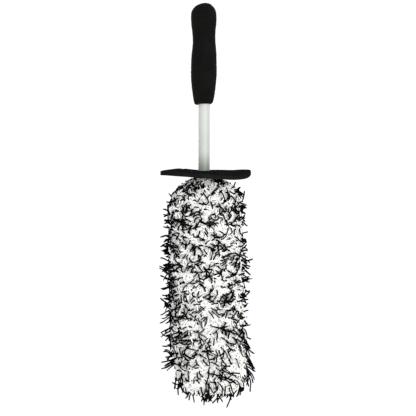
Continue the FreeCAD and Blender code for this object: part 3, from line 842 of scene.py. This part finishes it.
def make_guard(material):
    """The guard as a soft sheet, with a squared rim that is hardly rounded."""
    lowest, highest = low("splash_guard", 2), high("splash_guard", 2)
    outer = (high("splash_guard", 0) - low("splash_guard", 0)) / 2
    hole = high("shaft", 0) + 0.15
    edge = 0.6
    cut = 0.3 * edge
    outline = [(hole, lowest), (outer - edge, lowest), (outer - cut, lowest + cut),
               (outer, lowest + edge), (outer, highest - edge), (outer - cut, highest - cut),
               (outer - edge, highest), (hole, highest), (hole, lowest)]
    outline = resample(outline, 1.6)[:-1]
    points = turned_points(outline, GUARD_SEGMENTS)
    x, y, z = points[..., 0], points[..., 1], points[..., 2]
    share = np.hypot(x, y) / outer
    stretch = 1 + 0.037 * share * x / outer
    x, y = x * stretch, y * stretch
    flat = np.stack([x, y, np.zeros_like(x)], axis=-1)
    ripple = 0.18 * smooth_field(2, 30.0)(flat)[..., 2] * share ** 2
    crease = -0.6 * np.exp(-((x + 12 + 0.3 * y) / 2.6) ** 2) * fade(y, 0, outer)
    points = np.stack([x, y, guard_surface(x, y, z) + ripple + crease], axis=-1)
    faces = lattice_faces(len(outline), GUARD_SEGMENTS, closed_rows=True, closed_columns=True)
    new_piece("splash_guard_soft", points.reshape(-1, 3), [faces], material, "guard",
              ["splash_guard"], "guard_foam")


def grip_outline(bore, bottom, top):
    """The grip's (r, z) outline from its bore, round the rolled mouth and up to the dome's top.

    The radii are the CAD grip's, smoothed, with the dome's quarter circle worked out afresh.
    """
    cad = np.array([v.co for v in nodes["grip"].data.vertices]) / MM
    reach = np.hypot(cad[:, 0], cad[:, 1])
    outside = reach > bore + 0.4
    heights = np.unique(np.round(cad[outside, 2], 1))
    radii = np.array([reach[outside & (np.abs(cad[:, 2] - h) < 0.35)].max() for h in heights])
    body_z = np.linspace(bottom + GRIP_LIP, top - 0.15, 150)
    body_r = np.interp(body_z, heights, radii)
    dome = high("grip", 0)
    crown = body_z > top - dome
    depth = top - body_z[crown]
    crown_radius = np.interp(top - dome, heights, radii)
    body_r[crown] = np.sqrt(np.maximum(crown_radius ** 2 - (crown_radius - depth) ** 2, 0))
    reach_of_mean = 3
    window = 2 * reach_of_mean + 1
    padded = np.pad(body_r, reach_of_mean, "edge")
    smooth = np.convolve(padded, np.ones(window) / window, "valid")
    settle = ~crown & (body_z > body_z[8])
    body_r[settle] = smooth[settle]
    turn = np.linspace(-math.pi / 2, 0, 8)[:-1]
    lip_r = body_r[0] - GRIP_LIP + GRIP_LIP * np.cos(turn)
    lip_z = bottom + GRIP_LIP + GRIP_LIP * np.sin(turn)
    wall = bore + GRIP_GAP
    inner = resample([(wall, high("shaft_end_plug", 2) + 0.3), (wall, bottom + 1.0)], 4.0)
    return np.vstack([inner, [(bore + 0.9, bottom)], np.stack([lip_r, lip_z], axis=1),
                      np.stack([body_r, body_z], axis=1), [(0.4, top)]])


def make_grip(material):
    """The soft grip: the CAD outline with a rolled mouth and the slight unevenness of foam."""
    bore = high("shaft", 0)
    bottom, top = low("grip", 2), high("grip", 2)
    outline = grip_outline(bore, bottom, top)
    points = turned_points(outline, GRIP_SEGMENTS)
    uneven = smooth_field(3, 26.0)(points)[..., 0]
    grain = smooth_field(4, 4.0)(points)[..., 1]
    z = points[..., 2]
    soft = fade(z - bottom, 0, 6) * fade(top - z, 0, 6)
    swell = 1 + (0.38 + 0.12 * uneven + 0.05 * grain) * soft / 13
    points[..., :2] *= swell[..., None]
    outer = fade(np.hypot(points[..., 0], points[..., 1]), bore + 0.5, bore + 2.5)
    sway = (0.6 * np.exp(-((z - 8) / 14) ** 2) - 0.45) * outer
    sway += 1.4 * fade(z, top - 13, top) ** 2
    slant = 0.07 * points[..., 0] * (1 - fade(z, bottom, bottom + 10)) * outer
    points = points + np.stack([sway, np.zeros_like(z), slant], axis=-1)
    faces = lattice_faces(len(outline), GRIP_SEGMENTS, closed_columns=True)
    index = np.arange(len(outline) * GRIP_SEGMENTS).reshape(len(outline), GRIP_SEGMENTS)
    caps = [index[0][None, ::-1], index[-1][None, :]]
    new_piece("grip_soft", points.reshape(-1, 3), [faces, *caps], material, "handle", ["grip"],
              "grip_foam")


# ---------------------------------------------------------------- what the cover hides

PANEL_CORNER = 13.7
PAD_CORNER = 12.0
PAD_INSIDE = 5.2
GUSSET_THICKNESS = 0.9
GUSSET_COLUMNS = 15
COLLAR_SEGMENTS = 144


def slab_grid(node, corner, cell):
    """X and Z of a grid over a CAD slab with rounded lower corners, and distances from its rim."""
    (x0, _, z0), (x1, _, z1) = corners_of(node)
    columns = round((x1 - x0) / cell)
    rows = round((z1 - z0) / cell)
    across, up = np.meshgrid(np.linspace(-1, 1, columns + 1), np.linspace(0, 1, rows + 1))
    z = z0 + (z1 - z0) * up
    rise = fade(z, z0, z0 + corner)
    width = (x1 - x0) / 2 - corner * (1 - np.sqrt(1 - (1 - rise) ** 2))
    x = (x0 + x1) / 2 + across * width
    rim = np.minimum.reduce([(1 - np.abs(across)) * width, z - z0, z1 - z])
    return x, z, rim


def flat_points(x, z):
    """Points of a grid in X and Z, with a Y of 0."""
    return np.stack([x, np.zeros_like(x), z], axis=-1)


def double_sheet(front, back):
    """Vertices and polygons of a closed piece: two grids of points, joined round their rims."""
    rows, columns, _ = front.shape
    faces = lattice_faces(rows, columns)
    count = rows * columns
    index = np.arange(count).reshape(rows, columns)
    rim = np.concatenate([index[0, :-1], index[:-1, -1], index[-1, :0:-1], index[:0:-1, 0]])
    following = np.roll(rim, -1)
    wall = np.stack([rim, rim + count, following + count, following], axis=-1)
    verts = np.vstack([front.reshape(-1, 3), back.reshape(-1, 3)])
    return verts, [faces, faces[:, ::-1] + count, wall]


def make_foam_pads(material):
    """The padding either side of the blade: flat inside, crowned and a little dented outside."""
    edge = 2.6
    for side, outward in (("front", -1), ("back", 1)):
        node = f"foam_pad_{side}"
        x, z, rim = slab_grid(node, PAD_CORNER, 1.6)
        round_off = edge * (1 - np.sqrt(1 - (1 - fade(rim, 0, edge)) ** 2))
        dents = 0.25 * smooth_field(11 + outward, 18.0)(flat_points(x, z))[..., 0]
        face = max(abs(low(node, 1)), abs(high(node, 1)))
        outer = np.stack([x, outward * (face - round_off - 0.15 - np.abs(dents)), z], axis=-1)
        inner = np.stack([x, np.full_like(x, outward * PAD_INSIDE), z], axis=-1)
        front, back = (outer, inner) if outward < 0 else (inner, outer)
        pad = new_piece(f"{node}_soft", *double_sheet(front, back), material, "handle", [node],
                        "core_foam")


def make_panels(material):
    """The cover's two backing faces, slightly slack between their seams."""
    inset = 0.15
    for side, outward in (("front", -1), ("back", 1)):
        node = f"cover_panel_{side}"
        x, z, _ = slab_grid(node, PANEL_CORNER, 2.5)
        slack = 0.12 * smooth_field(31 + outward, 30.0)(flat_points(x, z))[..., 0]
        front = np.stack([x, low(node, 1) + slack + inset, z], axis=-1)
        back = np.stack([x, high(node, 1) + slack - inset, z], axis=-1)
        panel = new_piece(f"{node}_cloth", *double_sheet(front, back), material, "cover", [node],
                          "backing_fabric")


def strip_line(half, top, bottom, corner):
    """A U-shaped line in X and Z: down one side, round two corners and up the other."""
    points = [(-half, top)]
    for sign in (-1, 1):
        centre = sign * (half - corner), bottom + corner
        angles = np.linspace(0, math.pi / 2, 9)[::-sign]
        points += [(centre[0] + sign * corner * math.cos(a), centre[1] - corner * math.sin(a))
                   for a in angles]
    points.append((half, top))
    return resample(points, 2.5)


def make_gusset(material):
    """The cover's backing strip down one side, round the tip and up the other."""
    (x0, y0, z0), (x1, y1, z1) = corners_of("cover_gusset")
    inset = 0.6
    middle = strip_line((x1 - x0) / 2 - inset, z1, z0 + inset, PANEL_CORNER - inset)
    tangent = unit(np.gradient(middle, axis=0))
    normal = np.stack([-tangent[:, 1], tangent[:, 0]], axis=1)
    across = np.linspace(y0 + 0.05, y1 - 0.05, GUSSET_COLUMNS)

    def layer(offset):
        line = middle + normal * offset
        x = np.repeat(line[:, :1], GUSSET_COLUMNS, axis=1)
        y = np.tile(across, (len(line), 1))
        z = np.repeat(line[:, 1:], GUSSET_COLUMNS, axis=1)
        return np.stack([x, y, z], axis=-1)

    sheets = double_sheet(layer(-GUSSET_THICKNESS / 2), layer(GUSSET_THICKNESS / 2))
    strip = new_piece("cover_gusset_cloth", *sheets, material, "cover", ["cover_gusset"],
                      "backing_fabric")


def make_collar(material):
    """The gathered cloth that closes the cover's mouth in to the neck, in pleats."""
    inset = 0.3
    thick = 0.8
    pleats = 18
    angle = np.arange(COLLAR_SEGMENTS) * math.tau / COLLAR_SEGMENTS
    mouth_x, mouth_y = high("cover_collar", 0) - inset, high("cover_collar", 1) - inset
    neck = high("hem_band", 0) - 0.5
    bottom, top = low("cover_collar", 2), high("cover_collar", 2)
    up = np.linspace(0, 1, 12)
    rows = []
    for share, inward in [(s, 0.0) for s in up] + [(s, thick) for s in up[::-1]]:
        gather = 0.45 * share * (1 - 0.3 * share) * np.sin(pleats * angle)
        x = (mouth_x + (neck - mouth_x) * share - inward + gather) * np.cos(angle)
        y = (mouth_y + (neck - mouth_y) * share - inward + gather) * np.sin(angle)
        z = np.full(COLLAR_SEGMENTS, bottom + (top - bottom) * share)
        rows.append(np.stack([x, y, z], axis=-1))
    faces = lattice_faces(len(rows), COLLAR_SEGMENTS, closed_rows=True, closed_columns=True)
    new_piece("cover_collar_cloth", np.vstack(rows), [faces], material, "cover", ["cover_collar"],
              "backing_fabric")


def make_ring(node, inner, outer, ribs, rib_depth, material, slot):
    """A band round the neck, as high as its CAD node and ribbed on the outside."""
    bottom, top = low(node, 2), high(node, 2)
    outline = [(inner, bottom), (outer, bottom), (outer, top), (inner, top), (inner, bottom)]
    outline = resample(outline, 0.5)[:-1]
    points = turned_points(outline, COLLAR_SEGMENTS)
    angle = np.arange(COLLAR_SEGMENTS) * math.tau / COLLAR_SEGMENTS
    outside = fade(np.hypot(points[..., 0], points[..., 1]), inner, outer)
    rib = 1 - rib_depth / outer * outside * (0.5 + 0.5 * np.cos(ribs * angle))
    points[..., :2] *= rib[..., None]
    faces = lattice_faces(len(outline), COLLAR_SEGMENTS, closed_rows=True, closed_columns=True)
    new_piece(f"{node}_ribbed", points.reshape(-1, 3), [faces], material, "cover", [node], slot)


def make_hem(cloth, rubber):
    """The hem's dark band, and the elastic inside it that grips the neck."""
    seam = high("hem_elastic", 0)
    make_ring("hem_band", seam + 0.05, high("hem_band", 0), 24, 0.5, cloth, "hem_fabric")
    make_ring("hem_elastic", high("shaft", 0) + 0.35, seam - 0.05, 36, 0.15, rubber, "elastic")


# ---------------------------------------------------------------- assembly

def paint(node, material):
    nodes[node].data.materials.clear()
    nodes[node].data.materials.append(material)


def paint_cad_nodes():
    """Materials for the nodes that are shown as their CAD shapes."""
    white = plastic_material("shaft_plastic_look", (0.395, 0.408, 0.39), (0.44, 0.455, 0.435), 0.38)
    # Painted shade on the shaft, darkest and greenish just above the guard.
    paint_shade_near(white, high("splash_guard", 2), 24.0, (0.41, 0.455, 0.385))
    paint("shaft", white)
    moulded = plastic_material("moulded_plastic_look", (0.62, 0.63, 0.62), (0.72, 0.73, 0.72), 0.45)
    for node in ("shaft_end_plug", "neck_socket", "flex_blade"):
        paint(node, moulded)
    rubber = foam_material("rubber_look", (0.012, 0.012, 0.012), (0.03, 0.03, 0.03), 0.8, 0.03)
    for node in ("guard_stop", "tip_bumper"):
        paint(node, rubber)
    paint("neck_pin", metal_material("steel_look", (0.42, 0.43, 0.44), (0.62, 0.62, 0.63), 0.3))
    paint("blade_rivets", metal_material("rivet_look", (0.6, 0.6, 0.6), (0.75, 0.75, 0.76), 0.35))


make_camera()
make_studio()
paint_cad_nodes()

grip_foam = foam_material("grip_foam_look", (0.002, 0.002, 0.002), (0.005, 0.005, 0.0045), 0.7, 0.05)
guard_foam = foam_material("guard_foam_look", (0.005, 0.005, 0.005), (0.011, 0.011, 0.0105), 0.9,
                           0.05, specular=0.0)
core_foam = foam_material("core_foam_look", (0.05, 0.05, 0.055), (0.12, 0.12, 0.13), 1.2, 0.25)
make_grip(grip_foam)
make_guard(guard_foam)
make_foam_pads(core_foam)

backing = woven_material("backing_cloth_look", (0.35, 0.35, 0.34), (0.62, 0.62, 0.61), 0.50265, 0.1)
hem_cloth = woven_material("hem_cloth_look", (0.008, 0.008, 0.008), (0.03, 0.03, 0.03), 0.37699,
                           0.15)
elastic = foam_material("elastic_look", (0.01, 0.01, 0.01), (0.03, 0.03, 0.03), 0.4, 0.05)
make_panels(backing)
make_gusset(backing)
make_collar(backing)
make_hem(hem_cloth, elastic)

white_yarn = yarn_material("white_yarn_look", (0.60, 0.605, 0.595), (0.98, 0.985, 0.965), 0.1, 0.2)
black_yarn = yarn_material("black_yarn_look", (0.001, 0.001, 0.0012), (0.006, 0.006, 0.007), 0.0, 0.0)
clumps = surface_point(*Scatter(np.random.default_rng(9)).spaced_points(CLUMPS, CLUMP_TRIES))
make_underpile(clumps, white_yarn)
make_white_pile(clumps, white_yarn)
make_black_pile(black_yarn)
